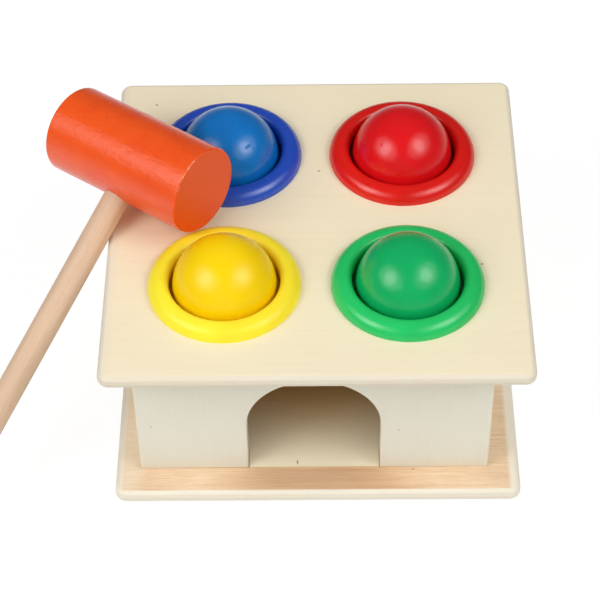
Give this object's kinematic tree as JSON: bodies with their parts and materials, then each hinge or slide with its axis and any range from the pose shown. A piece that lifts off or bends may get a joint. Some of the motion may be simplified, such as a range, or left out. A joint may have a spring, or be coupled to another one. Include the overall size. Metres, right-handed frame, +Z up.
{
  "type": "ball pounding bench",
  "caption": "Wooden toy bench: balls sit in soft rings on a square top board, a hammer knocks them through, and a ramp rolls them out of a front arch.",
  "frame": {"origin": "middle of the base board's underside, where the bench stands on a table", "axes": "+X to the right as seen from the arched front, +Y towards the back, +Z up"},
  "size_m": [0.1908, 0.151, 0.0937],
  "materials": {
    "top_ply": "pale sanded plywood, satin",
    "wall_ply": "pale sanded plywood, satin",
    "base_ply": "warm sanded plywood, satin",
    "ramp_ply": "sanded plywood",
    "inner_wood": "bare wood",
    "handle_wood": "bare turned dowel",
    "orange_paint": "painted, satin",
    "blue_paint": "painted, glossy",
    "red_paint": "painted, glossy",
    "yellow_paint": "painted, glossy",
    "green_paint": "painted, glossy",
    "blue_ring": "soft moulded, glossy",
    "red_ring": "soft moulded, glossy",
    "yellow_ring": "soft moulded, glossy",
    "green_ring": "soft moulded, glossy",
    "screw_steel": "plated"
  },
  "bodies": {
    "bench": {"top_board": "top_ply", "base_board": "base_ply", "front_wall": "wall_ply", "back_wall": "wall_ply", "left_wall": "wall_ply", "right_wall": "wall_ply", "ramp_board": "ramp_ply", "ramp_batten": "inner_wood", "ring_blue": "blue_ring", "ring_red": "red_ring", "ring_yellow": "yellow_ring", "ring_green": "green_ring", "top_dowels": "inner_wood", "corner_dowels": "inner_wood", "base_screws": "screw_steel"},
    "blue_ball": {"ball_blue": "blue_paint"},
    "red_ball": {"ball_red": "red_paint"},
    "yellow_ball": {"ball_yellow": "yellow_paint"},
    "green_ball": {"ball_green": "green_paint"},
    "hammer": {"hammer_head": "orange_paint", "hammer_handle": "handle_wood"}
  },
  "joints": [
    {"name": "blue_ball_drop", "type": "slide", "parent": "bench", "child": "blue_ball", "axis": [0, 0, 1], "range_m": [-0.0286, 0], "deforming": ["ring_blue"]},
    {"name": "red_ball_drop", "type": "slide", "parent": "bench", "child": "red_ball", "axis": [0, 0, 1], "range_m": [-0.0286, 0], "deforming": ["ring_red"]},
    {"name": "yellow_ball_drop", "type": "slide", "parent": "bench", "child": "yellow_ball", "axis": [0, 0, 1], "range_m": [-0.0366, 0], "deforming": ["ring_yellow"]},
    {"name": "green_ball_drop", "type": "slide", "parent": "bench", "child": "green_ball", "axis": [0, 0, 1], "range_m": [-0.0366, 0], "deforming": ["ring_green"]},
    {"name": "hammer_lift", "type": "slide", "parent": "bench", "child": "hammer", "axis": [0, 0, 1], "range_m": [0, 0.08]}
  ]
}
